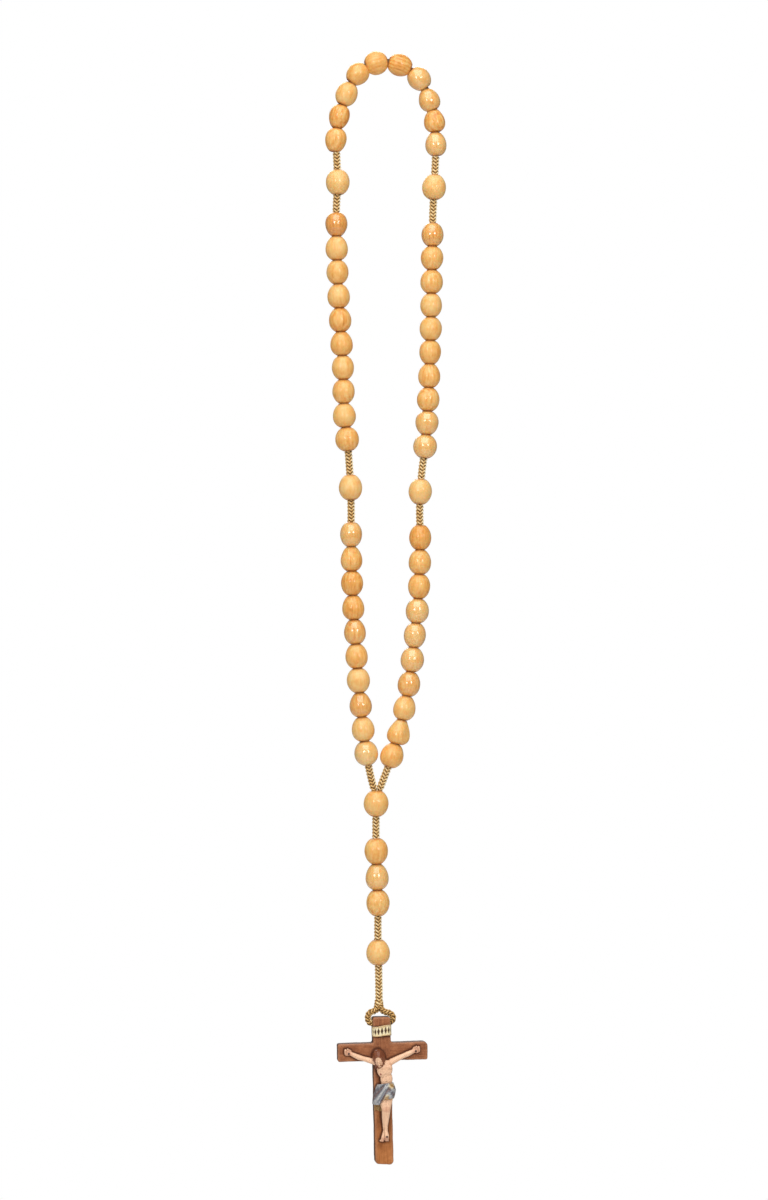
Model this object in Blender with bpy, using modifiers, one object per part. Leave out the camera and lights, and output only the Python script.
"""A hanging five-decade wooden rosary, modelled in metres with +Z up.

The origin is the hanging point, inside the top of the loop of beads. The
rosary hangs in the XZ plane and its front faces -Y. Routes are written in
millimetres as (x, z) points and turned into metres when they are used.
"""

import math

import bmesh
import bpy
from mathutils import Vector

MM = 0.001
GAP = 0.3 * MM

# Beads: length along the cord, greatest width, flat ends and bore.
BEAD_WIDTH = 7.8 * MM
LARGE_BEAD_WIDTH = 8.5 * MM
LARGE_BEAD_LENGTH = 8.8 * MM
TAIL_BEAD_WIDTH = 8.2 * MM
BEAD_END_WIDTH = 4.0 * MM
TOP_BEAD_LENGTH = 8.0 * MM
TOP_BEAD_END_WIDTH = 3.6 * MM
TOP_MOUTH = 4.1 * MM
TOP_CORD_LEAD = 3.9 * MM
CENTRE_BEAD_LENGTH = 8.6 * MM
BORE_WIDTH = 3.0 * MM
BEAD_SIDES = 12
BEAD_RINGS = 6

# Cords: the doubled cord that carries the beads, and the single loop cord.
CORD_WIDTH = 2.3 * MM
LOOP_CORD_WIDTH = 1.7 * MM
CORD_STEP = 5.5 * MM
CORD_SIDES_RESOLUTION = 2
END_CAP_ANGLES = (80.0, 53.13, 26.74)

# Cross: outline in its own upright frame, measured from the bore's axis.
CROSS_THICKNESS = 5.6 * MM
CROSS_LEAN = math.radians(1.2)
CROSS_BORE = (-1.45 * MM, -330.9 * MM)
CROSS_BORE_WIDTH = 2.5 * MM
BORE_CUTTER_SIDES = 16
BORE_CUTTER_LENGTH = 14.0 * MM
STEM_WIDTH = 6.2 * MM
STEM_TOP = 2.15 * MM
STEM_BOTTOM = -49.6 * MM
BEAM_TOP = -6.9 * MM
BEAM_BOTTOM = -13.1 * MM
BEAM_LEFT = -15.5 * MM
BEAM_RIGHT = 16.0 * MM
STEM_FLARE = 0.15 * MM
BEAM_SWELL = 0.12 * MM
OUTER_CORNER = 1.1 * MM
HEAD_CORNER = 0.7 * MM
INNER_CORNER = 1.0 * MM
CORNER_STEPS = 4

# Title scroll, in the cross's frame.
SCROLL_WIDTH = 6.6 * MM
SCROLL_HEIGHT = 3.5 * MM
SCROLL_THICKNESS = 0.8 * MM
SCROLL_BULGE = 0.35 * MM
SCROLL_COLUMNS = 6
SCROLL_CENTRE = Vector((0.05 * MM, 0.0, -2.75 * MM))

# The ten beads over the top of the loop, from the left end to the right end.
TOP_BEADS = [
    (-17.3, -22.2), (-16.1, -14.0), (-13.5, -6.1), (-9.6, 1.0), (-3.1, 4.9),
    (5.2, 4.3), (12.0, -0.4), (15.5, -7.8), (17.4, -15.2), (17.9, -23.3),
]

# Each strand's route, from a bead at the end of the top decade down to the centre bead.
LEFT_ROUTE = [
    (-17.3, -22.2), (-16.9, -29.5), (-16.6, -36.9), (-17.0, -44.0), (-17.1, -51.7), (-16.7, -68.4),
    (-15.8, -84.7), (-14.8, -101.2), (-14.3, -118.0), (-13.3, -126.7), (-12.6, -135.0),
    (-12.1, -143.6), (-11.9, -152.0), (-11.9, -160.1), (-11.6, -176.8), (-10.6, -194.0),
    (-9.3, -211.5), (-7.7, -228.3), (-6.6, -236.6), (-5.4, -243.0), (-4.1, -248.3),
]
RIGHT_ROUTE = [
    (17.9, -23.3), (17.7, -30.5), (17.3, -38.3), (16.9, -46.5), (16.7, -55.0), (16.4, -71.4),
    (16.1, -87.7), (15.6, -104.1), (14.8, -120.6), (14.1, -129.2), (13.1, -137.0),
    (12.4, -145.0), (12.2, -153.0), (12.4, -161.1), (12.0, -177.9), (10.5, -195.4),
    (8.4, -212.7), (4.9, -229.6), (2.5, -237.4), (0.3, -243.5), (-1.4, -248.0),
]
TAIL_ROUTE = [
    (-2.8, -249.9), (-3.1, -254.2), (-3.2, -262.5), (-3.1, -270.9), (-2.8, -279.8),
    (-2.5, -289.0), (-2.5, -297.5), (-2.4, -306.3), (-2.2, -315.0), (-2.1, -323.2),
]

# The loop of single cord, as (x, y, z) points round it, starting under the tail cord.
HANGER_ROUTE = [
    (-1.5, 0.0, -325.1), (0.3, 0.0, -325.3), (1.9, 0.0, -326.1), (2.95, 0.0, -327.6),
    (3.2, 0.0, -329.3), (2.75, 0.0, -330.5), (1.9, 0.0, -330.9), (-0.3, 0.0, -330.9),
    (-2.6, 0.0, -330.9), (-4.8, 0.0, -330.9), (-5.65, 0.0, -330.5), (-6.1, 0.0, -329.3),
    (-5.85, 0.0, -327.6), (-4.8, 0.0, -326.1), (-3.3, 0.0, -325.3),
]

# Where beads sit: the height of a decade's first and last bead centres.
DECADES = {
    "left_upper": (-51.7, -126.7),
    "left_lower": (-160.1, -236.6),
    "right_upper": (-55.0, -129.2),
    "right_lower": (-161.1, -237.4),
    "tail_upper": (-270.9, -289.0),
}
OUR_FATHER_HEIGHTS = {
    "left_upper": -36.9,
    "left_lower": -143.6,
    "right_upper": -38.3,
    "right_lower": -145.0,
    "tail_lower": -306.3,
}
CENTRE_BEAD_HEIGHT = -254.2

WOOD = ("bead_wood", (0.80, 0.50, 0.20), 0.35)
CORD = ("cord_fibre", (0.62, 0.46, 0.24), 0.85)
CROSS_WOOD = ("cross_wood", (0.31, 0.14, 0.07), 0.55)
PAINT = ("corpus_paint", (0.80, 0.57, 0.40), 0.55)
GILT = ("scroll_gilt", (0.80, 0.68, 0.42), 0.5)


def make_material(name, colour, roughness):
    """A Principled material, or the one already made under this name."""
    material = bpy.data.materials.get(name) or bpy.data.materials.new(name)
    material.use_nodes = True
    shader = material.node_tree.nodes["Principled BSDF"]
    shader.inputs["Base Color"].default_value = (*colour, 1.0)
    shader.inputs["Roughness"].default_value = roughness
    shader.inputs["Metallic"].default_value = 0.0
    return material


def new_collection(name):
    collection = bpy.data.collections.new(name)
    bpy.context.scene.collection.children.link(collection)
    return collection


def clear_scene():
    for obj in list(bpy.data.objects):
        bpy.data.objects.remove(obj, do_unlink=True)


class Route:
    """A smooth curve through hand-chosen points, read by distance or by height."""

    STEPS_PER_SPAN = 12

    def __init__(self, points):
        self.points = [Vector(p) * MM for p in points]
        self.fine = self._smooth()
        self.lengths = [0.0]
        for a, b in zip(self.fine, self.fine[1:]):
            self.lengths.append(self.lengths[-1] + (b - a).length)
        self.length = self.lengths[-1]

    def _smooth(self):
        pts = self.points
        first = pts[0] * 2 - pts[1]
        last = pts[-1] * 2 - pts[-2]
        ring = [first, *pts, last]
        out = []
        for i in range(1, len(ring) - 2):
            p0, p1, p2, p3 = ring[i - 1:i + 3]
            for k in range(self.STEPS_PER_SPAN):
                t = k / self.STEPS_PER_SPAN
                out.append(0.5 * (
                    2 * p1 + (p2 - p0) * t + (2 * p0 - 5 * p1 + 4 * p2 - p3) * t ** 2
                    + (3 * p1 - p0 - 3 * p2 + p3) * t ** 3
                ))
        out.append(pts[-1].copy())
        return out

    def at(self, distance):
        """The point this far along the route."""
        distance = min(max(distance, 0.0), self.length)
        for i in range(len(self.fine) - 1):
            if self.lengths[i + 1] >= distance:
                span = self.lengths[i + 1] - self.lengths[i]
                share = (distance - self.lengths[i]) / span if span else 0.0
                return self.fine[i].lerp(self.fine[i + 1], share)
        return self.fine[-1].copy()

    def direction(self, distance, reach=1.5 * MM):
        return (self.at(distance + reach) - self.at(distance - reach)).normalized()

    def distance_at_height(self, height):
        """How far along the route it first comes down to this height, in metres."""
        for i in range(len(self.fine) - 1):
            upper, lower = self.fine[i].z, self.fine[i + 1].z
            if upper >= height > lower:
                share = (upper - height) / (upper - lower)
                return self.lengths[i] + share * (self.lengths[i + 1] - self.lengths[i])
        raise ValueError(f"the route never reaches {height}")


def flat_route(points):
    return Route([(x, 0.0, z) for x, z in points])


LEFT = flat_route(LEFT_ROUTE)
RIGHT = flat_route(RIGHT_ROUTE)
TAIL = flat_route(TAIL_ROUTE)
ROUTES = {
    "left_upper": LEFT, "left_lower": LEFT, "right_upper": RIGHT, "right_lower": RIGHT,
    "tail_upper": TAIL, "tail_lower": TAIL,
}
BEADS_IN_RUN = {"tail_upper": 3}


def run_places(strand):
    """Distances of the bead centres in a strand's run, and the pitch between them."""
    route = ROUTES[strand]
    first, last = (route.distance_at_height(h * MM) for h in DECADES[strand])
    count = BEADS_IN_RUN.get(strand, 10)
    pitch = (last - first) / (count - 1)
    return [first + k * pitch for k in range(count)], pitch


def our_father_place(strand):
    return ROUTES[strand].distance_at_height(OUR_FATHER_HEIGHTS[strand] * MM)


def run_mouth(strand):
    """Distance at the lower mouth of a run's last bead."""
    places, pitch = run_places(strand)
    return places[-1] + (pitch - GAP) / 2


def cord_limits():
    """Each cord's start and end along its route. A start is also its swing point."""
    swing_gap = GAP + CORD_WIDTH / 2
    centre = TAIL.distance_at_height(CENTRE_BEAD_HEIGHT * MM)
    return {
        "left_upper": (TOP_MOUTH + swing_gap, run_mouth("left_upper")),
        "left_lower": (run_mouth("left_upper") + swing_gap, LEFT.length),
        "right_upper": (TOP_MOUTH + swing_gap, run_mouth("right_upper")),
        "right_lower": (run_mouth("right_upper") + swing_gap, RIGHT.length),
        "tail_upper": (centre + LARGE_BEAD_LENGTH / 2 + swing_gap, run_mouth("tail_upper")),
        "tail_lower": (run_mouth("tail_upper") + swing_gap, TAIL.length),
    }


def joint_points():
    """World places of the joints that let the strands, tail and cross swing."""
    limits = cord_limits()
    points = {name: ROUTES[name].at(start) for name, (start, _) in limits.items()}
    points["centre_bead"] = LEFT.at(LEFT.length)
    points["hanging_loop"] = TAIL.at(TAIL.length) - Vector((0.0, 0.0, GAP + LOOP_CORD_WIDTH / 4))
    points["crucifix"] = Vector((CROSS_BORE[0], 0.0, CROSS_BORE[1]))
    return points


PARENTS = {
    "left_upper": None, "left_lower": "left_upper", "centre_bead": "left_lower",
    "right_upper": None, "right_lower": "right_upper", "tail_upper": "centre_bead",
    "tail_lower": "tail_upper", "hanging_loop": "tail_lower", "crucifix": "hanging_loop",
}


def make_joint_empties(collection):
    """One empty on each swing joint, parented like the strands they carry."""
    points = joint_points()
    empties = {}
    for name, parent in PARENTS.items():
        empty = bpy.data.objects.new(f"joint_{name}", None)
        collection.objects.link(empty)
        empty.empty_display_size = 4 * MM
        empty.location = points[name] - (points[parent] if parent else Vector())
        empty.parent = empties.get(parent)
        empties[name] = empty
    return empties, points


def finish_object(obj, collection, material, parent=None, parent_point=None):
    """Link an object, give it its material and hang it on its joint's empty."""
    if not obj.users_collection:
        collection.objects.link(obj)
    obj.data.materials.append(make_material(*material))
    if parent:
        obj.parent = parent
        obj.location = Vector(obj.location) - parent_point
    return obj


def mesh_from_object(source, name, collection):
    """A welded mesh object from a curve or from an object with modifiers."""
    graph = bpy.context.evaluated_depsgraph_get()
    graph.update()
    mesh = bpy.data.meshes.new_from_object(source.evaluated_get(graph))
    obj = bpy.data.objects.new(name, mesh)
    obj.matrix_world = source.matrix_world.copy()
    collection.objects.link(obj)
    bpy.data.objects.remove(source, do_unlink=True)
    shape = bmesh.new()
    shape.from_mesh(mesh)
    bmesh.ops.remove_doubles(shape, verts=shape.verts, dist=0.002 * MM)
    bmesh.ops.recalc_face_normals(shape, faces=shape.faces)
    shape.to_mesh(mesh)
    shape.free()
    mesh.materials.clear()
    return obj


def bead_mesh(name, length, width, end_width=BEAD_END_WIDTH, bore=BORE_WIDTH, sides=BEAD_SIDES):
    """A turned bead: an oval with flat ends and a bore along its own Z, or solid with no bore."""
    half = length / 2
    reach = half / math.sqrt(1 - (end_width / width) ** 2)
    shape = bmesh.new()
    profile = []
    for k in range(BEAD_RINGS + 1):
        height = half * math.cos(math.pi * k / BEAD_RINGS)
        radius = (width / 2) * math.sqrt(1 - (height / reach) ** 2)
        profile.append(shape.verts.new((radius, 0.0, height)))
    inner = bore / 2
    profile.append(shape.verts.new((inner, 0.0, -half)))
    if bore:
        profile.append(shape.verts.new((inner, 0.0, half)))
    else:
        profile.append(shape.verts.new((0.0, 0.0, half)))
    edges = [shape.edges.new(pair) for pair in zip(profile, profile[1:] + profile[:1] * bool(bore))]
    if not bore:
        edges.append(shape.edges.new((profile[-1], profile[0])))
    bmesh.ops.spin(
        shape, geom=profile + edges, cent=(0, 0, 0), axis=(0, 0, 1), angle=math.tau,
        steps=sides, use_merge=True, use_duplicate=False,
    )
    bmesh.ops.remove_doubles(shape, verts=shape.verts, dist=0.005 * MM)
    bmesh.ops.dissolve_degenerate(shape, edges=shape.edges, dist=0.002 * MM)
    bmesh.ops.recalc_face_normals(shape, faces=shape.faces)
    mesh = bpy.data.meshes.new(name)
    shape.to_mesh(mesh)
    shape.free()
    mesh.shade_smooth()
    mesh.set_sharp_from_angle(angle=math.radians(50))
    return mesh


def place_bead(name, mesh, centre, direction, collection, parent=None, parent_point=None):
    obj = bpy.data.objects.new(name, mesh)
    collection.objects.link(obj)
    obj.rotation_mode = "QUATERNION"
    obj.rotation_quaternion = direction.to_track_quat("Z", "Y")
    obj.location = centre
    if not mesh.materials:
        mesh.materials.append(make_material(*WOOD))
    if parent:
        obj.parent = parent
        obj.location = centre - parent_point
    return obj


def cord_curve(name, points, radii, width, collection, cyclic=False):
    """A plain round cord as a bevelled POLY curve, its points relative to the first."""
    curve = bpy.data.curves.new(name, "CURVE")
    curve.dimensions = "3D"
    curve.bevel_depth = width / 2
    curve.bevel_resolution = CORD_SIDES_RESOLUTION
    curve.use_fill_caps = not cyclic
    spline = curve.splines.new("POLY")
    spline.points.add(len(points) - 1)
    for target, point, radius in zip(spline.points, points, radii):
        target.co = (*(point - points[0]), 1.0)
        target.radius = radius
    spline.use_cyclic_u = cyclic
    obj = bpy.data.objects.new(name, curve)
    collection.objects.link(obj)
    obj.location = points[0]
    return obj


def strand_cord(strand, collection, empties, points):
    """A strand's cord: round where it swings on its joint, flat at its far end."""
    route = ROUTES[strand]
    start, end = cord_limits()[strand]
    cap = CORD_WIDTH / 2
    steps = [math.radians(angle) for angle in END_CAP_ANGLES]
    places = [start - cap * math.sin(step) for step in steps] + [start]
    radii = [math.cos(step) for step in steps] + [1.0]
    if strand in ("left_lower", "right_lower"):
        end -= cap
        tail = [end + cap * math.sin(step) for step in reversed(steps)]
        tail_radii = [math.cos(step) for step in reversed(steps)]
    else:
        tail = []
        tail_radii = []
    count = round((end - start) / CORD_STEP)
    places += [start + (end - start) * k / count for k in range(1, count + 1)]
    places += tail
    radii += [1.0] * count + tail_radii
    name = f"{strand}_cord"
    centre_line = [route.at(place) for place in places]
    curve = cord_curve(name + "_curve", centre_line, radii, CORD_WIDTH, collection)
    obj = mesh_from_object(curve, name, collection)
    recentre(obj, points[strand])
    return finish_object(obj, collection, CORD, empties[strand], points[strand])


def recentre(obj, place):
    """Move an object's origin to a place without moving its shape."""
    shift = place - Vector(obj.location)
    for vertex in obj.data.vertices:
        vertex.co -= shift
    obj.location = place


def make_strand(strand, numbers, large_number, collection, empties, points):
    """A strand: its cord, its large bead, if it has one, and its run of small beads."""
    parent, origin, route = empties[strand], points[strand], ROUTES[strand]
    strand_cord(strand, collection, empties, points)
    side = strand.split("_")[0]
    if strand in OUR_FATHER_HEIGHTS:
        place = our_father_place(strand)
        mesh = bead_mesh(f"{strand}_large", LARGE_BEAD_LENGTH, LARGE_BEAD_WIDTH)
        place_bead(f"{side}_large_bead_{large_number}", mesh, route.at(place), route.direction(place),
                   collection, parent, origin)
    if strand in DECADES:
        places, pitch = run_places(strand)
        width = TAIL_BEAD_WIDTH if side == "tail" else BEAD_WIDTH
        mesh = bead_mesh(f"{strand}_small", pitch - GAP, width)
        for number, place in zip(numbers, places):
            place_bead(f"{side}_bead_{number:02d}", mesh, route.at(place), route.direction(place),
                       collection, parent, origin)


def make_top_decade(collection, guides):
    """The ten beads over the top, joined into one solid with the cord through them."""
    route = Route([(x, 0.0, z) for x, z in TOP_BEADS])
    start, end = route.at(0), route.at(route.length)
    line = [start - route.direction(0) * TOP_CORD_LEAD]
    line += [Vector((x * MM, 0.0, z * MM)) for x, z in TOP_BEADS]
    line += [end + route.direction(route.length) * TOP_CORD_LEAD]
    curve = cord_curve("top_cord_curve", line, [1.0] * len(line), CORD_WIDTH, collection)
    core = mesh_from_object(curve, "top_decade", collection)
    mesh = bead_mesh("top_small", TOP_BEAD_LENGTH, BEAD_WIDTH, end_width=TOP_BEAD_END_WIDTH, bore=0.0)
    centres = [Vector((x * MM, 0.0, z * MM)) for x, z in TOP_BEADS]
    for k, centre in enumerate(centres):
        ahead = centres[min(k + 1, len(centres) - 1)]
        behind = centres[max(k - 1, 0)]
        bead = place_bead(f"top_bead_{k + 1}_guide", mesh, centre, (ahead - behind).normalized(), guides)
        bead.hide_render = True
        bead.display_type = "WIRE"
        join = core.modifiers.new(f"join_bead_{k + 1}", "BOOLEAN")
        join.operation = "UNION"
        join.object = bead
    finish_object(core, collection, WOOD)
    return core


def arc_corner(centre, radius, start_angle, turn):
    """Points round a corner's arc, in the outline's plane."""
    return [
        (centre[0] + radius * math.cos(start_angle + turn * k / CORNER_STEPS),
         centre[1] + radius * math.sin(start_angle + turn * k / CORNER_STEPS))
        for k in range(CORNER_STEPS + 1)
    ]


def rounded_outline(corners):
    """An outline through (x, z, radius) corners, each rounded with an arc."""
    out = []
    count = len(corners)
    for k, (x, z, radius) in enumerate(corners):
        before = Vector(corners[k - 1][:2])
        after = Vector(corners[(k + 1) % count][:2])
        corner = Vector((x, z))
        into = (corner - before).normalized()
        away = (after - corner).normalized()
        turn = math.atan2(into.x * away.y - into.y * away.x, into.dot(away))
        side = 1.0 if turn > 0 else -1.0
        normal = Vector((-into.y, into.x)) * side
        tangent_start = corner - into * radius * math.tan(abs(turn) / 2)
        centre = tangent_start + normal * radius
        first = tangent_start - centre
        out += arc_corner(centre, radius, math.atan2(first.y, first.x), turn)
    return out


def make_cross(collection, guides, empties, points):
    """The flat cross with rounded corners and a bore from side to side in its head."""
    half = STEM_WIDTH / 2
    corners = [
        (-half, STEM_TOP, HEAD_CORNER), (-half, BEAM_TOP, INNER_CORNER),
        (BEAM_LEFT, BEAM_TOP - BEAM_SWELL, OUTER_CORNER),
        (BEAM_LEFT, BEAM_BOTTOM + BEAM_SWELL, OUTER_CORNER),
        (-half, BEAM_BOTTOM, INNER_CORNER), (-half - STEM_FLARE, STEM_BOTTOM, OUTER_CORNER),
        (half + STEM_FLARE, STEM_BOTTOM, OUTER_CORNER), (half, BEAM_BOTTOM, INNER_CORNER),
        (BEAM_RIGHT, BEAM_BOTTOM + BEAM_SWELL, OUTER_CORNER),
        (BEAM_RIGHT, BEAM_TOP - BEAM_SWELL, OUTER_CORNER),
        (half, BEAM_TOP, INNER_CORNER), (half, STEM_TOP, HEAD_CORNER),
    ]
    outline = rounded_outline(corners)
    curve = bpy.data.curves.new("cross_outline", "CURVE")
    curve.dimensions = "2D"
    curve.fill_mode = "BOTH"
    curve.extrude = CROSS_THICKNESS / 2
    spline = curve.splines.new("POLY")
    spline.points.add(len(outline) - 1)
    for target, (x, z) in zip(spline.points, outline):
        target.co = (x, z, 0.0, 1.0)
    spline.use_cyclic_u = True
    flat = bpy.data.objects.new("cross_flat", curve)
    collection.objects.link(flat)
    cross = mesh_from_object(flat, "cross", collection)
    for vertex in cross.data.vertices:
        x, z, y = vertex.co
        vertex.co = (x, -y, z)
    cross.rotation_euler = (0.0, -CROSS_LEAN, 0.0)
    cross.location = points["crucifix"]
    bpy.ops.mesh.primitive_cylinder_add(vertices=BORE_CUTTER_SIDES, radius=CROSS_BORE_WIDTH / 2,
                                        depth=BORE_CUTTER_LENGTH)
    cutter = bpy.context.object
    cutter.name = "cross_bore_cutter"
    for linked in list(cutter.users_collection):
        linked.objects.unlink(cutter)
    guides.objects.link(cutter)
    cutter.rotation_euler = (0.0, math.pi / 2, 0.0)
    cutter.location = points["crucifix"]
    cutter.hide_render = True
    cutter.display_type = "WIRE"
    cut = cross.modifiers.new("hanging_bore", "BOOLEAN")
    cut.operation = "DIFFERENCE"
    cut.object = cutter
    finish_object(cross, collection, CROSS_WOOD, empties["crucifix"], points["crucifix"])


# Corpus: round forms as (x, depth, z, width, depth, height, lean in degrees), in the cross's
# frame in millimetres. Depth is measured forward from the cross's front face.
CORPUS_FORMS = [
    (-0.5, 2.6, -12.7, 4.0, 3.8, 5.4, 12),
    (1.0, 1.9, -16.6, 5.8, 3.2, 7.0, 0),
    (1.5, 1.8, -20.2, 4.3, 2.8, 5.0, 0),
    (1.2, 2.0, -24.6, 7.4, 4.0, 8.4, -8),
    (-1.0, 1.7, -26.9, 4.2, 3.0, 4.6, 0),
]
# Limbs as pairs of (x, depth, z, width) ends.
CORPUS_LIMBS = [
    ((-0.6, 1.9, -14.6, 2.6), (-6.2, 1.6, -12.8, 1.9)),
    ((-5.8, 1.6, -12.9, 1.9), (-11.9, 1.2, -10.3, 1.5)),
    ((2.8, 1.9, -14.4, 2.6), (8.0, 1.6, -11.8, 1.9)),
    ((7.6, 1.6, -12.0, 1.9), (12.6, 1.2, -9.6, 1.5)),
    ((0.2, 2.2, -25.5, 4.0), (0.7, 2.7, -31.5, 2.9)),
    ((2.4, 2.0, -25.5, 3.8), (2.0, 2.6, -31.5, 2.9)),
    ((1.1, 2.6, -31.0, 3.0), (0.6, 1.6, -38.0, 1.9)),
    ((1.9, 2.5, -31.0, 2.9), (1.2, 1.5, -38.0, 1.9)),
    ((0.9, 1.7, -37.5, 2.5), (0.9, 2.0, -41.3, 2.4)),
]
CORPUS_VOXEL = 0.32 * MM
CORPUS_TRIANGLE_SHARE = 0.11


def add_ellipsoid(shape, centre, size, lean):
    made = bmesh.ops.create_uvsphere(shape, u_segments=14, v_segments=10, radius=0.5)
    turn = math.radians(lean)
    for vertex in made["verts"]:
        x, y, z = (a * b for a, b in zip(vertex.co, size))
        vertex.co = (
            centre[0] + x * math.cos(turn) + z * math.sin(turn),
            centre[1] + y,
            centre[2] - x * math.sin(turn) + z * math.cos(turn),
        )


def add_limb(shape, near, far, front):
    """A limb as a row of balls from one end to the other, fused with the rest later."""
    near_point = Vector((near[0] * MM, -(front + near[1] * MM), near[2] * MM))
    far_point = Vector((far[0] * MM, -(front + far[1] * MM), far[2] * MM))
    steps = max(4, round((far_point - near_point).length / (0.6 * MM)))
    for k in range(steps + 1):
        share = k / steps
        width = (near[3] + (far[3] - near[3]) * share) * MM
        point = near_point.lerp(far_point, share)
        add_ellipsoid(shape, point, (width, width, width), 0.0)


def make_corpus(collection, empties, points):
    """The carved figure, as one plain solid that stands just off the cross's face."""
    front = CROSS_THICKNESS / 2
    shape = bmesh.new()
    for x, depth, z, width, deep, height, lean in CORPUS_FORMS:
        centre = Vector((x * MM, -(front + depth * MM), z * MM))
        add_ellipsoid(shape, centre, (width * MM, deep * MM, height * MM), lean)
    for near, far in CORPUS_LIMBS:
        add_limb(shape, near, far, front)
    mesh = bpy.data.meshes.new("corpus_forms")
    shape.to_mesh(mesh)
    shape.free()
    rough = bpy.data.objects.new("corpus_rough", mesh)
    collection.objects.link(rough)
    fuse = rough.modifiers.new("fuse", "REMESH")
    fuse.mode = "VOXEL"
    fuse.voxel_size = CORPUS_VOXEL
    thin = rough.modifiers.new("thin", "DECIMATE")
    thin.ratio = CORPUS_TRIANGLE_SHARE
    thin.use_collapse_triangulate = True
    corpus = mesh_from_object(rough, "corpus", collection)
    back = -(front + GAP)
    for vertex in corpus.data.vertices:
        vertex.co.y = min(vertex.co.y, back)
    corpus.rotation_euler = (0.0, -CROSS_LEAN, 0.0)
    corpus.location = points["crucifix"]
    finish_object(corpus, collection, PAINT, empties["crucifix"], points["crucifix"])


def make_scroll(collection, empties, points):
    """The small curved title scroll on the front of the cross's head."""
    shape = bmesh.new()
    rows = []
    for level in (-1, 1):
        row = []
        for k in range(SCROLL_COLUMNS + 1):
            share = 2 * k / SCROLL_COLUMNS - 1
            x = share * SCROLL_WIDTH / 2
            y = -(CROSS_THICKNESS / 2 + GAP) - SCROLL_BULGE * (1 - share ** 2)
            row.append(shape.verts.new((x, y, level * SCROLL_HEIGHT / 2)))
        rows.append(row)
    for a, b, c, d in zip(rows[0], rows[0][1:], rows[1][1:], rows[1]):
        shape.faces.new((a, b, c, d))
    mesh = bpy.data.meshes.new("title_scroll_sheet")
    shape.to_mesh(mesh)
    shape.free()
    sheet = bpy.data.objects.new("title_scroll_sheet", mesh)
    collection.objects.link(sheet)
    solid = sheet.modifiers.new("thickness", "SOLIDIFY")
    solid.thickness = SCROLL_THICKNESS
    solid.offset = 1.0
    scroll = mesh_from_object(sheet, "title_scroll", collection)
    for vertex in scroll.data.vertices:
        vertex.co += SCROLL_CENTRE
    scroll.rotation_euler = (0.0, -CROSS_LEAN, 0.0)
    scroll.location = points["crucifix"]
    finish_object(scroll, collection, GILT, empties["crucifix"], points["crucifix"])


def make_hanging_loop(collection, empties, points):
    """The closed loop of single cord that runs through the bore in the cross's head."""
    line = [Vector(p) * MM for p in HANGER_ROUTE]
    curve = cord_curve("hanging_loop_curve", line, [1.0] * len(line), LOOP_CORD_WIDTH,
                       collection, cyclic=True)
    obj = mesh_from_object(curve, "hanging_loop", collection)
    recentre(obj, points["hanging_loop"])
    finish_object(obj, collection, CORD, empties["hanging_loop"], points["hanging_loop"])


def make_rosary():
    clear_scene()
    rosary = new_collection("rosary")
    guides = new_collection("cutters_and_guides")
    empties, points = make_joint_empties(rosary)
    make_top_decade(rosary, guides)
    make_strand("left_upper", range(1, 11), 1, rosary, empties, points)
    make_strand("left_lower", range(11, 21), 2, rosary, empties, points)
    make_strand("right_upper", range(1, 11), 1, rosary, empties, points)
    make_strand("right_lower", range(11, 21), 2, rosary, empties, points)
    place = TAIL.distance_at_height(CENTRE_BEAD_HEIGHT * MM)
    centre_mesh = bead_mesh("centre", CENTRE_BEAD_LENGTH, LARGE_BEAD_WIDTH)
    place_bead("centre_bead", centre_mesh, TAIL.at(place), TAIL.direction(place), rosary,
               empties["centre_bead"], points["centre_bead"])
    make_strand("tail_upper", range(1, 4), 0, rosary, empties, points)
    make_strand("tail_lower", range(0), 1, rosary, empties, points)
    make_hanging_loop(rosary, empties, points)
    make_cross(rosary, guides, empties, points)
    make_corpus(rosary, empties, points)
    make_scroll(rosary, empties, points)


make_rosary()
